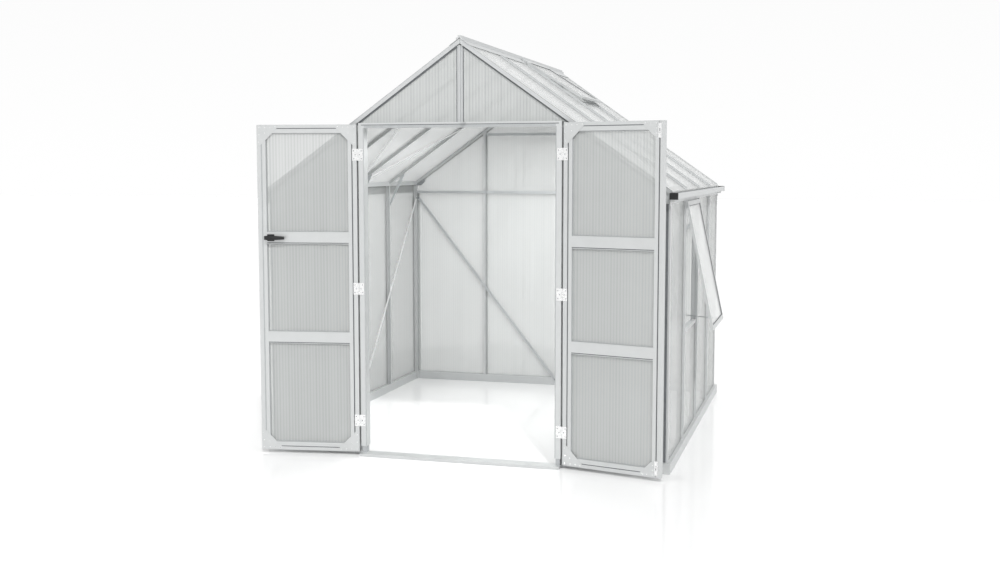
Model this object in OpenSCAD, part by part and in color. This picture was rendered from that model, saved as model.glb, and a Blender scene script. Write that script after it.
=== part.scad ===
// Walk-in gable greenhouse with hinged double doors, one top-hung side window and one roof vent.
// Millimetres, +Z up, +Y into the house. The origin is on the ground at the middle of the doorway,
// in the plane of the front wall's base rails.

/* [House] */
// Width over the base frame
span_w = 2500; // [2480:10:2520]
// Depth over the base frame
depth = 2660; // [2640:4:2680]
// Height where the roof sheets would cross the base frame's outer face
eave_h = 1597; // [1590:1:1604]
// Height of the line where the roof sheets would meet
ridge_h = 2478; // [2470:1:2486]
// Thickness of the twin-wall sheets
sheet_t = 6; // [4:1:6]

/* [Doors] */
// Half the width over the outer faces of the door posts
door_half = 618; // [610:1:626]
// Height of the header's top face
header_top = 1998; // [1990:1:2000]
// Width of one door leaf
leaf_w = 616; // [600:1:616]
// Opening of the left leaf from shut
left_open = 171; // [0:1:175]
// Opening of the right leaf from shut
right_open = 166; // [0:1:175]

/* [Window and vent] */
// Opening of the side window from shut
window_open = 12; // [0:1:20]
// Length of the window sash below its hinge line
window_len = 800; // [790:1:805]
// Opening of the roof vent from shut
vent_open = 3; // [0:1:30]
// Length of the vent sash below its hinge line
vent_len = 468; // [460:1:475]

/* [Hidden] */

half_w = span_w / 2;
pitch = atan((ridge_h - eave_h) / half_w);
bay = depth / 4;
sheet_in = 22;                       // from the base's outer face to a wall sheet's outer face
wall_x = half_w - sheet_in;
front_y = sheet_in;
back_y = depth - sheet_in;
base_h = 60;
base_d = 50;
block = 62;
post = 30;                           // side of a corner post
bar_deep = 32;                       // depth of a wall bar inside the sheets' outer face
roof_deep = 22;                      // and of a roof bar
rafter_deep = 22;
rafter_y = 10;                       // outer face of a rafter, from the base's outer face
rafter_w = 24;
eave_z = 1535;                       // underside of the eave beams
beam_z = 1596;                       // top of the side sheets, behind the eave beams' outer face
ridge_low = 2440;                    // underside of the ridge beam
gutter_z = 1560;
gutter_h = 34;
eave_x = wall_x - bar_deep;          // inner face of the eave beams
roof_out = half_w - 10;              // lower edge of the roof sheets
skirt_s = 75;

post_w = 35;
frame_y = -30;                       // front face of the door posts and header
post_back = front_y + sheet_t;
sill_h = 15;
head_h = 30;
hinge_x = door_half + 5;
hinge_y = frame_y - 2;
hinge_h = 70;
hinge_zs = [177, 977, 1776];         // bottom of each hinge
knuckle_r = 4.6;
pin_r = 2;
leaf_t = 28;
leaf_z0 = 19;
leaf_z1 = header_top - 8;
leaf_u0 = 6;                         // hinge edge of a leaf, from the pin
stile_w = 54;
groove_a = 25;                       // groove in a stile, from its outer edge
groove_b = 32;
rail_h = 50;
mid_h = 72;
mid_zs = [675, 1279];                // bottom of each middle rail
bolt_u = leaf_w - (groove_a + groove_b) / 2;
bolt_y = -6.5;
bolt_r = 2.5;
handle_u = 538;                      // the lever's spindle, from the hinge pin
handle_z = mid_zs[1] + mid_h / 2;

window_x = half_w - 10;              // hinge line of the side window
window_z = 1524;
window_y0 = bay + 8.5;
window_y1 = 2 * bay - 8.5;
window_sill_z = 710;
stay_y = window_y1 - 110;
stay_q = window_len - 14;            // pivot of the stay, below the hinge line
vent_s = 52;                         // hinge line of the vent, down the slope from the ridge
vent_n = 10.5;                       // hinge line of the vent, above the roof sheets
vent_y0 = 2 * bay + 8;
vent_y1 = 3 * bay - 8;
vent_sill_s = 497;
sash_w = 28;
sash_t = 15;

alu = [0.86, 0.87, 0.88];
alu_dark = [0.74, 0.76, 0.78];
clear = [0.80, 0.85, 0.84, 0.6];
black = [0.08, 0.08, 0.09];
steel = [0.93, 0.94, 0.95];

// ---- shared shapes ----

// A box given by its lowest and highest corners
module box(a, b) { translate(a) cube(b - a); }

// Children as drawn, and again on the other side of the house
module both_sides() {
  children();
  mirror([1, 0, 0]) children();
}

// Children as drawn at the front, and again turned to the back
module both_ends() {
  children();
  translate([0, depth, 0]) mirror([0, 1, 0]) children();
}

// Cap and fin of a glazing bar: x runs across it, y outwards, y = 0 is the sheets' outer face
module cap_section() {
  translate([-17, 0]) square([34, 2]);
  translate([-3, 2]) square([6, 10]);
  translate([-1.5, -1]) square([3, 2]);
}

// Web and two inner lips of a glazing bar
module web_section(d = bar_deep) {
  translate([-1.5, -d]) square([3, d]);
  translate([-9, -d]) square([18, 2]);
  translate([-9, -sheet_t - 2]) square([18, 2]);
}

// A whole glazing bar, len long along +z
module bar(len) {
  linear_extrude(len) {
    cap_section();
    web_section();
  }
}

// Places children on a roof slope: x runs down the slope and z outwards from the sheets' outer face
module on_slope(side = 1) {
  mirror([side < 0 ? 1 : 0, 0, 0]) translate([0, 0, ridge_h]) rotate([0, pitch, 0]) children();
}

// Everything lower than n above the roof sheets' outer face, from y0 to y1
module under_roof(n, y0, y1) {
  top = ridge_h + n / cos(pitch);
  out = half_w + 200;
  low = top - out * tan(pitch);
  translate([0, y1, 0]) rotate([90, 0, 0]) linear_extrude(y1 - y0)
    polygon([[-out, 0], [out, 0], [out, low], [0, top], [-out, low]]);
}

// A flat strip in the x-y plane from a to b, with a bolt hole near each end
module strip(a, b, w = 20, t = 3) {
  d = b - a;
  translate(a) rotate(atan2(d[1], d[0])) difference() {
    translate([-w / 2, -w / 2, 0]) cube([norm(d) + w, w, t]);
    translate([0, 0, -1]) cylinder(r = 3.1, h = t + 2, $fn = 32);
    translate([norm(d), 0, -1]) cylinder(r = 3.1, h = t + 2, $fn = 32);
  }
}

// A round-headed bolt: its head stands on z = 0 and its shank reaches down by len
module bolt(len = 3) {
  cylinder(r = 6, h = 4, $fn = 32);
  translate([0, 0, -len]) cylinder(r = 3, h = len + 1, $fn = 32);
}

// ---- base ----

module door_sill() {
  color(alu_dark) difference() {
    box([-door_half, frame_y - 36, 0], [door_half, post_back, sill_h]);
    translate([hinge_x - bolt_u, hinge_y + bolt_y, -1]) cylinder(r = 4, h = sill_h + 2, $fn = 32);
  }
}

// A hollow base rail from x0 to x1 along the front
module base_rail(x0, x1) {
  difference() {
    box([x0, 0, 0], [x1, base_d, base_h]);
    box([x0 - 1, 2.5, 2.5], [x1 + 1, base_d - 2.5, base_h - 2.5]);
  }
}

module front_base_rails() {
  color(alu) both_sides() base_rail(door_half, half_w - block);
}

module back_base_rail() {
  color(alu) translate([0, depth, 0]) mirror([0, 1, 0]) base_rail(block - half_w, half_w - block);
}

module side_base_rails() {
  color(alu) both_sides() translate([half_w, 0, 0]) rotate([0, 0, 90]) base_rail(block, depth - block);
}

module base_corner_blocks() {
  color(alu_dark) both_ends() both_sides() difference() {
    box([half_w - block, 0, 0], [half_w, block, base_h]);
    translate([half_w - block / 2, block / 2, -1]) cylinder(r = 4.5, h = base_h + 2, $fn = 48);
  }
}

// ---- walls ----

module corner_posts() {
  color(alu) both_ends() both_sides() translate([wall_x, front_y, base_h]) linear_extrude(eave_z - base_h)
    difference() {
      union() {
        translate([-post, 0]) square([post, post]);
        translate([-post - 16, -2]) square([post + 18, 2]);
        translate([0, -2]) square([2, post + 16]);
      }
      translate([2 - post, 2]) square([post - 4, post - 4]);
    }
}

module door_posts() {
  color(alu) both_sides() difference() {
    box([door_half - post_w, frame_y, 55], [door_half, post_back, header_top - head_h]);
    box([door_half - post_w + 2, frame_y + 2, 54], [door_half - 2, post_back - 2, header_top]);
  }
}

module door_post_feet() {
  color(alu_dark) both_sides()
    box([door_half - post_w + 5, frame_y + 6, sill_h], [door_half - 5, post_back - 6, 55]);
}

module door_header() {
  color(alu) difference() {
    union() {
      box([-door_half, frame_y, header_top - head_h], [door_half, post_back, header_top]);
      box([hinge_x - bolt_u - 14, frame_y - 24, header_top - 5],
        [hinge_x - bolt_u + 14, frame_y + 1, header_top - 2]);
    }
    box([-door_half - 1, frame_y + 2, header_top - head_h + 2], [door_half + 1, post_back - 2, header_top - 2.5]);
    translate([hinge_x - bolt_u, hinge_y + bolt_y, header_top - 9]) cylinder(r = 4, h = 12, $fn = 32);
  }
}

module side_studs() {
  color(alu) both_sides() for (k = [1:3])
    translate([wall_x, k * bay, base_h]) rotate([0, 0, -90]) {
      linear_extrude(eave_z - base_h) cap_section();
      linear_extrude(beam_z - base_h) web_section();
    }
}

module back_studs() {
  color(alu) intersection() {
    for (x = [-1, 0, 1]) translate([x * door_half, back_y, base_h]) bar(ridge_h);
    under_roof(-rafter_deep - 0.5, back_y - 100, back_y + 100);
    box([-half_w, 0, 0], [half_w, depth, ridge_low]);
  }
}

module front_eave_rails() {
  color(alu) both_sides() difference() {
    box([door_half, front_y - 2, 1550], [eave_x, front_y + 24, 1590]);
    box([door_half - 1, front_y, 1552], [eave_x + 1, front_y + 22, 1588]);
  }
}

module back_tie_rail() {
  color(alu) difference() {
    box([-1190, back_y - 44, 1530], [1190, back_y - 32, 1550]);
    box([-1191, back_y - 42, 1532], [1191, back_y - 34, 1548]);
  }
}

module back_gable_rail() {
  color(alu) difference() {
    box([-595, back_y - 44, 1990], [595, back_y - 32, 2010]);
    box([-596, back_y - 42, 1992], [596, back_y - 34, 2008]);
  }
}

module gable_mullion() {
  color(alu) intersection() {
    translate([0, front_y, header_top]) rotate([0, 0, 180]) bar(ridge_h - header_top);
    under_roof(-rafter_deep - 0.5, -50, 100);
    box([-half_w, 0, 0], [half_w, depth, ridge_low]);
  }
}

// ---- roof frame ----

// One rafter on the right slope at the front, with a cap over the sheets' edge
module rafter() {
  intersection() {
    on_slope() difference() {
      union() {
        box([0, rafter_y, -rafter_deep], [1700, rafter_y + rafter_w, 1]);
        box([skirt_s + 5, rafter_y - 2, 0], [1700, rafter_y + rafter_w + 14, 2]);
      }
      box([-1, rafter_y + 2, 2 - rafter_deep], [1701, rafter_y + rafter_w - 2, -1]);
    }
    box([0.5, -50, 1000], [half_w - 20, 200, 3000]);
  }
}

module front_rafters() {
  color(alu) both_sides() rafter();
}

module back_rafters() {
  color(alu) translate([0, depth, 0]) mirror([0, 1, 0]) both_sides() rafter();
}

module roof_bars() {
  color(alu) both_sides() for (k = [1:3]) {
    intersection() {
      on_slope() translate([0, k * bay, 0]) rotate([90, 0, 90]) linear_extrude(1700) web_section(roof_deep);
      box([22.5, 0, 1000], [eave_x, depth, 3000]);
    }
    intersection() {
      on_slope() translate([skirt_s + 5, k * bay, 0]) rotate([90, 0, 90]) linear_extrude(1700) cap_section();
      box([22.5, 0, 1000], [roof_out, depth, 3000]);
    }
  }
}

module ridge_beam() {
  color(alu) intersection() {
    difference() {
      box([-22, rafter_y + rafter_w, ridge_low], [22, depth - rafter_y - rafter_w, 2500]);
      box([-20, 0, ridge_low + 2], [20, depth, ridge_low + 12]);
    }
    under_roof(-sheet_t - 0.05, 0, depth);
  }
}

// Height of the skirts' upper faces at distance x from the ridge
function skirt_z(x) = ridge_h + 4.1 / cos(pitch) - x * tan(pitch);

module ridge_crest() {
  color(alu) translate([0, depth - 15, 0]) rotate([90, 0, 0]) linear_extrude(depth - 20)
    polygon([[-20, skirt_z(20)], [0, skirt_z(0)], [20, skirt_z(20)], [20, ridge_h + 5], [9, ridge_h + 5],
      [9, ridge_h + 18], [-9, ridge_h + 18], [-9, ridge_h + 5], [-20, ridge_h + 5]]);
}

module ridge_skirts() {
  color(alu) {
    on_slope(-1) box([3, 5, 2], [skirt_s, depth - 15, 4]);
    on_slope() box([3, 5, 2], [skirt_s, 2 * bay - 12, 4]);
    on_slope() box([3, 3 * bay + 12, 2], [skirt_s, depth - 15, 4]);
  }
}

module eave_beams() {
  color(alu) both_sides() difference() {
    union() {
      intersection() {
        box([eave_x, front_y, eave_z], [wall_x + 2, back_y, 1700]);
        under_roof(-rafter_deep, front_y, back_y);
      }
      intersection() {
        box([eave_x, rafter_y + rafter_w, eave_z], [wall_x + 2, depth - rafter_y - rafter_w, 1700]);
        under_roof(-sheet_t - 0.05, 0, depth);
      }
    }
    box([eave_x - 1, front_y + post, eave_z - 1], [wall_x, back_y - post, beam_z]);
    intersection() {
      box([eave_x + 2, front_y + post + 2, beam_z + 2], [wall_x, back_y - post - 2, 1700]);
      under_roof(-sheet_t - 3, 0, depth);
    }
  }
}

module gutters() {
  color(alu) both_sides() difference() {
    box([wall_x + 2, -30, gutter_z], [wall_x + 49, depth + 30, gutter_z + gutter_h]);
    box([wall_x + 4, -31, gutter_z + 2], [wall_x + 47, depth + 31, gutter_z + gutter_h + 1]);
  }
}

module gutter_end_caps() {
  color(black) both_ends() both_sides()
    box([wall_x + 2, -35, gutter_z - 2], [wall_x + 50, -30, gutter_z + gutter_h + 2]);
}

// ---- bracing ----

module side_wall_braces() {
  color(alu) both_sides() translate([eave_x, 0, 0]) rotate([90, 0, -90]) {
    strip([-66, 1490], [-2 * bay + 25, 45]);
    strip([66 - depth, 1490], [-2 * bay - 25, 45]);
  }
}

module back_braces() {
  color(alu) {
    translate([0, back_y - bar_deep, 0]) rotate([90, 0, 0]) strip([-1178, 1490], [-30, 45]);
    translate([0, back_y - bar_deep, 0]) rotate([90, 0, 0]) strip([1178, 1490], [30, 45]);
  }
}

module roof_braces() {
  color(alu) both_sides() on_slope() translate([0, 0, -roof_deep - 3]) {
    strip([62, 58], [1430, 2 * bay - 25], 26);
    strip([62, depth - 58], [1430, 2 * bay + 25], 26);
  }
}

module knee_braces() {
  color(alu) both_sides() for (k = [1:3]) intersection() {
    translate([0, k * bay + 1.5, 0]) rotate([90, 0, 0]) linear_extrude(3)
      polygon([[eave_x, 1440], [eave_x, 1468], [1100, 1690], [1072, 1690]]);
    under_roof(-roof_deep - 0.05, 0, depth);
  }
}

module eave_brackets() {
  color(alu_dark) both_ends() both_sides() intersection() {
    translate([0, front_y + 18, 0]) rotate([90, 0, 0]) linear_extrude(3)
      polygon([[eave_x, 1560], [eave_x, 1700], [1130, 1700], [1130, 1626]]);
    under_roof(-rafter_deep - 1, 0, depth);
    box([1000, front_y + 10, 1592], [eave_x, front_y + 30, 1700]);
  }
}

module brace_bolts() {
  color(alu_dark) {
    both_sides() for (p = [[66, 1490], [depth - 66, 1490], [2 * bay - 25, 45], [2 * bay + 25, 45]])
      translate([eave_x - 3, p[0], p[1]]) rotate([0, -90, 0]) bolt();
    for (x = [-1178, 1178]) translate([x, back_y - bar_deep - 3, 1490]) rotate([90, 0, 0]) bolt();
    for (x = [-30, 30]) translate([x, back_y - bar_deep - 3, 45]) rotate([90, 0, 0]) bolt();
    both_sides() on_slope() for (p = [[62, 58], [1430, 2 * bay - 25], [62, depth - 58], [1430, 2 * bay + 25]])
      translate([p[0], p[1], -roof_deep - 3]) rotate([180, 0, 0]) bolt();
  }
}

// ---- sheets ----

module front_sheets() {
  color(clear) both_sides() {
    box([door_half, front_y, base_h], [eave_x, post_back, 1550]);
    intersection() {
      union() {
        box([door_half, front_y, 1590], [eave_x, post_back, ridge_h]);
        box([2, front_y, header_top], [door_half, post_back, ridge_h]);
      }
      under_roof(-rafter_deep, 0, 100);
    }
  }
}

module back_sheets() {
  color(clear) intersection() {
    both_sides() {
      box([2, back_y - sheet_t, base_h], [door_half - 2, back_y, ridge_h]);
      box([door_half + 2, back_y - sheet_t, base_h], [eave_x, back_y, ridge_h]);
    }
    under_roof(-rafter_deep, back_y - 50, back_y + 50);
  }
}

// Ends of bay k along a side wall, clear of the webs or posts
function bay_a(k) = k == 0 ? front_y + post : k * bay + 2;
function bay_b(k) = k == 3 ? back_y - post : (k + 1) * bay - 2;

module side_sheets() {
  color(clear) {
    for (s = [-1, 1], k = [0:3]) mirror([s < 0 ? 1 : 0, 0, 0])
      box([wall_x - sheet_t, bay_a(k), base_h], [wall_x, bay_b(k), s > 0 && k == 1 ? window_sill_z : beam_z]);
    box([wall_x - sheet_t, bay_a(1), eave_z], [wall_x, bay_b(1), beam_z]);
  }
}

// Ends of bay k along the roof, clear of the webs or rafters
function roof_a(k) = k == 0 ? rafter_y + rafter_w : k * bay + 2;
function roof_b(k) = k == 3 ? depth - rafter_y - rafter_w : (k + 1) * bay - 2;

module roof_sheets() {
  color(clear) for (s = [-1, 1], k = [0:3]) intersection() {
    on_slope(s) box([s > 0 && k == 2 ? vent_sill_s + 30 : 5, roof_a(k), -sheet_t], [1700, roof_b(k), 0]);
    box([-roof_out, 0, 1000], [roof_out, depth, 3000]);
  }
}

// ---- fixed parts of the vent and window ----

module vent_hinge_rail() {
  color(alu) on_slope() {
    translate([0, vent_y1 + 6, 0]) rotate([90, 0, 0]) linear_extrude(vent_y1 - vent_y0 + 12)
      polygon([[5, -sheet_t], [41, -sheet_t], [41, 16], [27, 16], [27, 2], [5, 2]]);
    for (y = [vent_y0 - 6, vent_y1 + 1]) box([40, y, 1], [60, y + 5, 17]);
    for (y = [vent_y0 - 2, vent_y1 - 12]) translate([vent_s, y, vent_n]) rotate([-90, 0, 0])
      cylinder(r = 3, h = 14, $fn = 32);
  }
}

module vent_sill() {
  color(alu) on_slope() difference() {
    box([vent_sill_s, 2 * bay + 17.5, -roof_deep], [vent_sill_s + 30, 3 * bay - 17.5, 2]);
    box([vent_sill_s + 2, 2 * bay, 2 - roof_deep], [vent_sill_s + 28, 3 * bay, 0]);
  }
}

module window_head_rail() {
  color(alu) {
    difference() {
      box([eave_x + 2, bay + 17.5, eave_z - 30], [wall_x + 2, 2 * bay - 17.5, eave_z]);
      box([eave_x + 4, bay, eave_z - 28], [wall_x, 2 * bay, eave_z - 2]);
    }
    for (y = [window_y0 - 4, window_y1 + 1]) box([wall_x + 2, y, window_z - 8], [window_x + 7, y + 3, window_z + 8]);
    for (y = [window_y0 - 2, window_y1 - 12]) translate([window_x, y, window_z]) rotate([-90, 0, 0])
      cylinder(r = 3, h = 14, $fn = 32);
  }
}

module window_sill() {
  color(alu) difference() {
    box([eave_x + 2, bay + 17.5, window_sill_z], [wall_x + 2, 2 * bay - 17.5, window_sill_z + 22]);
    box([eave_x + 4, bay, window_sill_z + 2], [wall_x, 2 * bay, window_sill_z + 20]);
  }
}

module stay_pin() {
  color(steel) translate([wall_x - 16, stay_y, window_sill_z + 22]) cylinder(r = 3, h = 20, $fn = 32);
}

// ---- doors ----

// Places a leaf's children: x runs from the hinge pin to the free edge, -y is the weather side when shut
module leaf_place(side) {
  mirror([side < 0 ? 1 : 0, 0, 0]) translate([hinge_x, hinge_y, 0])
    rotate([0, 0, side < 0 ? left_open : right_open]) mirror([1, 0, 0]) children();
}

// Hinge halves that stay on the door posts, with the pins
module post_hinge_plates() {
  color(steel) both_sides() for (z = hinge_zs) translate([hinge_x, hinge_y, z]) {
    box([-33, 0.2, 0], [-5.2, 2, hinge_h]);
    for (a = [0, 48]) translate([0, 0, a]) {
      cylinder(r = knuckle_r, h = 22, $fn = 32);
      box([-6, 0.2, 0], [0, 2, 22]);
    }
    cylinder(r = pin_r, h = hinge_h, $fn = 32);
  }
}

module leaf_hinge_plates(side) {
  color(steel) leaf_place(side) for (z = hinge_zs) translate([0, 0, z]) difference() {
    union() {
      box([5.2, -2, 0], [33, -0.2, hinge_h]);
      box([0, -2, 22.3], [6, -0.2, 47.7]);
      translate([0, 0, 22.3]) cylinder(r = knuckle_r, h = 25.4, $fn = 32);
    }
    translate([0, 0, -1]) cylinder(r = pin_r + 0.06, h = hinge_h + 2, $fn = 32);
  }
}

// A stile, x from its outer edge, with a groove down both faces
module stile() {
  translate([0, 0, leaf_z0]) linear_extrude(leaf_z1 - leaf_z0) difference() {
    translate([0, -leaf_t]) square([stile_w, leaf_t]);
    translate([groove_a, -9]) square([groove_b - groove_a, 10]);
    translate([groove_a, -leaf_t - 1]) square([groove_b - groove_a, 10]);
    translate([2, 2 - leaf_t]) square([groove_a - 4, leaf_t - 4]);
    translate([groove_b + 2, 2 - leaf_t]) square([stile_w - groove_b - 4, leaf_t - 4]);
  }
}

module leaf_stiles(side) {
  color(alu) leaf_place(side) translate([0, -2, 0]) {
    translate([leaf_u0, 0, 0]) stile();
    translate([leaf_w, 0, 0]) mirror([1, 0, 0]) stile();
  }
}

// A hollow rail between the stiles from height z0, h tall, with a shallow groove along its inner face
module leaf_rail(z0, h, groove) {
  difference() {
    box([leaf_u0 + stile_w, -leaf_t, z0], [leaf_w - stile_w, 0, z0 + h]);
    box([leaf_u0 + stile_w - 1, 4 - leaf_t, z0 + 2], [leaf_w, -4, z0 + h - 2]);
    box([leaf_u0, -2, z0 + groove], [leaf_w, 1, z0 + groove + 5]);
  }
}

// The upper middle rail of the left leaf is bored for the lever's spindle
module leaf_rails(side) {
  color(alu) leaf_place(side) translate([0, -2, 0]) {
    leaf_rail(leaf_z0, rail_h, 20);
    leaf_rail(leaf_z1 - rail_h, rail_h, 25);
    leaf_rail(mid_zs[0], mid_h, 3);
    difference() {
      leaf_rail(mid_zs[1], mid_h, 3);
      if (side < 0) translate([handle_u, 1, handle_z]) rotate([90, 0, 0])
        cylinder(r = 4.06, h = leaf_t + 2, $fn = 48);
    }
  }
}

module leaf_gussets(side) {
  color(alu) leaf_place(side) for (fx = [0, 1], fz = [0, 1])
    translate([fx * (leaf_w + leaf_u0), -0.5, fz * (leaf_z1 + leaf_z0)]) mirror([fx, 0, 0]) mirror([0, 0, fz])
      translate([leaf_u0 + 3, 0, leaf_z0 + 3]) rotate([90, 0, 0]) linear_extrude(1.5)
        polygon(side > 0 && fx == 1 ? [[37, 0], [124, 0], [124, 16], [56, 84], [37, 84]]
          : [[0, 0], [124, 0], [124, 16], [16, 124], [0, 124]]);
}

module leaf_panes(side) {
  z = [leaf_z0 + rail_h, mid_zs[0], mid_zs[0] + mid_h, mid_zs[1], mid_zs[1] + mid_h, leaf_z1 - rail_h];
  color(clear) leaf_place(side) for (k = [0, 2, 4])
    box([leaf_u0 + stile_w, -19, z[k]], [leaf_w - stile_w, -13, z[k + 1]]);
}

module left_door_stiles() { leaf_stiles(-1); }
module left_door_rails() { leaf_rails(-1); }
module left_door_gussets() { leaf_gussets(-1); }
module left_door_panes() { leaf_panes(-1); }
module left_door_hinge_plates() { leaf_hinge_plates(-1); }
module right_door_stiles() { leaf_stiles(1); }
module right_door_rails() { leaf_rails(1); }
module right_door_gussets() { leaf_gussets(1); }
module right_door_panes() { leaf_panes(1); }
module right_door_hinge_plates() { leaf_hinge_plates(1); }

// Two roses, one on each face of the upper middle rail, bored for the spindle
module latch_roses() {
  color(black) leaf_place(-1) for (y = [-2, -leaf_t - 10]) difference() {
    box([handle_u - 22, y, handle_z - 21], [handle_u + 22, y + 8, handle_z + 21]);
    translate([handle_u, y - 1, handle_z]) rotate([-90, 0, 0]) cylinder(r = 4.06, h = 10, $fn = 48);
  }
}

// The spindle, with a lever on each face; the levers' short ends reach over the free stile
module latch_handle() {
  color(black) leaf_place(-1) translate([handle_u, 0, handle_z]) {
    translate([0, -leaf_t - 26, 0]) rotate([-90, 0, 0]) cylinder(r = 4, h = leaf_t + 48, $fn = 48);
    for (y = [6.5, -leaf_t - 26]) translate([0, y, 0])
      rotate([-90, 0, 0]) cylinder(r = 11, h = 15.5, $fn = 48);
    for (y = [19, -leaf_t - 31]) translate([0, y, 0]) rotate([90, 0, 0]) mirror([0, 0, 1]) linear_extrude(10)
      polygon([[-90, -9], [-14, -13], [14, -13], [34, -11], [34, 11], [14, 13], [-14, 13], [-90, 9]]);
  }
}

// Cover plates over the flush bolts, slotted for their knobs
module flush_bolt_plates() {
  color(steel) leaf_place(1) for (z = [leaf_z0 + 14, leaf_z1 - 94]) difference() {
    box([bolt_u - 10, -2, z], [bolt_u + 10, -0.2, z + 80]);
    box([bolt_u - 3, -3, z + 28], [bolt_u + 3, 1, z + 52]);
  }
}

// A flush bolt's rod from z0 to z1 in the stile's groove, with its knob at kz
module flush_bolt(z0, z1, kz) {
  color(steel) leaf_place(1) translate([bolt_u, bolt_y, 0]) {
    translate([0, 0, z0]) cylinder(r = bolt_r, h = z1 - z0, $fn = 32);
    translate([0, 0, kz]) rotate([-90, 0, 0]) cylinder(r = 2, h = 12, $fn = 32);
    translate([0, 8, kz]) rotate([-90, 0, 0]) cylinder(r = 4, h = 4, $fn = 32);
  }
}

module flush_bolt_top() { flush_bolt(leaf_z1 - 80, leaf_z1 - 2, leaf_z1 - 61); }
module flush_bolt_bottom() { flush_bolt(leaf_z0 + 3, leaf_z0 + 81, leaf_z0 + 61); }

// ---- side window and roof vent ----

// Four bars around w by l, sash_t thick about z = 0, x from the hinge line, with pin bores in its top corners
module sash(y0, y1, l) {
  difference() {
    box([-6, y0, -sash_t / 2], [l, y1, sash_t / 2]);
    box([sash_w - 6, y0 + sash_w, -20], [l - sash_w, y1 - sash_w, 20]);
    for (y = [y0 - 1, y1 - 13]) translate([0, y, 0]) rotate([-90, 0, 0]) cylinder(r = 3.06, h = 14, $fn = 48);
    for (f = [-sash_t / 2 - 1, sash_t / 2 - 1.5]) {
      box([sash_w - 6, y0 + 12, f], [l - sash_w, y0 + 16, f + 2.5]);
      box([sash_w - 6, y1 - 16, f], [l - sash_w, y1 - 12, f + 2.5]);
    }
  }
}

// Places the window's children: x runs down from the hinge line, z outwards
module window_place() {
  translate([window_x, 0, window_z]) rotate([0, 90 - window_open, 0]) children();
}

module vent_place() {
  on_slope() translate([vent_s, 0, vent_n]) rotate([0, -vent_open, 0]) children();
}

module window_sash() {
  color(alu) window_place() sash(window_y0, window_y1, window_len);
}

module window_pane() {
  color(clear) window_place()
    box([sash_w - 6, window_y0 + sash_w, -3], [window_len - sash_w, window_y1 - sash_w, 3]);
}

module vent_sash() {
  color(alu) vent_place() sash(vent_y0, vent_y1, vent_len);
}

module vent_pane() {
  color(clear) vent_place() box([sash_w - 6, vent_y0 + sash_w, -3], [vent_len - sash_w, vent_y1 - sash_w, 3]);
}

// Centre of the stay's pivot on the open sash
stay_px = window_x + stay_q * sin(window_open) - (sash_t / 2 + 5) * cos(window_open);
stay_pz = window_z - stay_q * cos(window_open) - (sash_t / 2 + 5) * sin(window_open);
stay_tilt = atan2(stay_pz - window_sill_z - 30, stay_px - wall_x + 16);

// Slotted bar that rides on the sill's pin, with an ear that turns on the sash's bottom bar
module window_stay() {
  color(steel) translate([stay_px, stay_y, stay_pz]) rotate([0, stay_tilt - 180, 0]) mirror([0, 0, 1])
    difference() {
      union() {
        translate([0, 6, 0]) rotate([90, 0, 0]) cylinder(r = 4, h = 12, $fn = 32);
        box([0, -8, -1.5], [300, 8, 1.5]);
      }
      box([12, -3.6, -3], [292, 3.6, 3]);
    }
}

door_sill();
front_base_rails();
side_base_rails();
back_base_rail();
base_corner_blocks();
corner_posts();
door_posts();
door_post_feet();
door_header();
side_studs();
back_studs();
front_eave_rails();
back_tie_rail();
back_gable_rail();
front_rafters();
back_rafters();
roof_bars();
gable_mullion();
ridge_beam();
ridge_crest();
ridge_skirts();
eave_beams();
gutters();
gutter_end_caps();
side_wall_braces();
back_braces();
roof_braces();
knee_braces();
eave_brackets();
brace_bolts();
front_sheets();
back_sheets();
side_sheets();
roof_sheets();
vent_hinge_rail();
vent_sill();
window_head_rail();
window_sill();
stay_pin();
post_hinge_plates();
left_door_stiles();
left_door_rails();
left_door_gussets();
left_door_panes();
left_door_hinge_plates();
latch_roses();
latch_handle();
right_door_stiles();
right_door_rails();
right_door_gussets();
right_door_panes();
right_door_hinge_plates();
flush_bolt_plates();
flush_bolt_top();
flush_bolt_bottom();
window_sash();
window_pane();
window_stay();
vent_sash();
vent_pane();
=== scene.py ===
# %% [markdown]
# # A walk-in greenhouse with its doors held open
# The real house is a kit: extruded aluminium bars bolted into a gable frame, and fluted
# polycarbonate sheets pushed into the bars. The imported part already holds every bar, hinge and
# bolt at its true size, so this lesson gives them their finishes and adds the small things that
# a kit has once it is built: screws, rivets, rubber seals, a moulded lever, clips and caps.

# %% Load the frame
import math
import bmesh
import bpy
from mathutils import Matrix, Vector


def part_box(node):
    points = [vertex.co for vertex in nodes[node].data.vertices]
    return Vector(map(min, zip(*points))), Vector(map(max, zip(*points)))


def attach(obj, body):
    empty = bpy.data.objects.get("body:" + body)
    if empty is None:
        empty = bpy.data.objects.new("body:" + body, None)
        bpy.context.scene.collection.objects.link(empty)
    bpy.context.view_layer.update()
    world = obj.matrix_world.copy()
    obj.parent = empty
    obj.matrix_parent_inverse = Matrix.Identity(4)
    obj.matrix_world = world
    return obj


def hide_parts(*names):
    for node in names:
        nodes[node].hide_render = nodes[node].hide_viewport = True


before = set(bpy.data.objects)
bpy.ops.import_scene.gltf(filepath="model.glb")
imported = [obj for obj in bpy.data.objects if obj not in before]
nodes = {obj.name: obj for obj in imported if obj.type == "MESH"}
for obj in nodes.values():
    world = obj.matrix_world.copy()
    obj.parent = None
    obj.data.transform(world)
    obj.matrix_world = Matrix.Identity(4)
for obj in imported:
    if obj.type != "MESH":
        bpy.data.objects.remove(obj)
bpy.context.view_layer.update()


# %% [markdown]
# ## Colours and nodes
# Colours are picked as hex values, the way a paint chart prints them. Blender mixes light in
# linear numbers, so one function turns a hex value into those. A second function adds a shader
# node with its settings and its links in one line, which keeps each material readable.

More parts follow.
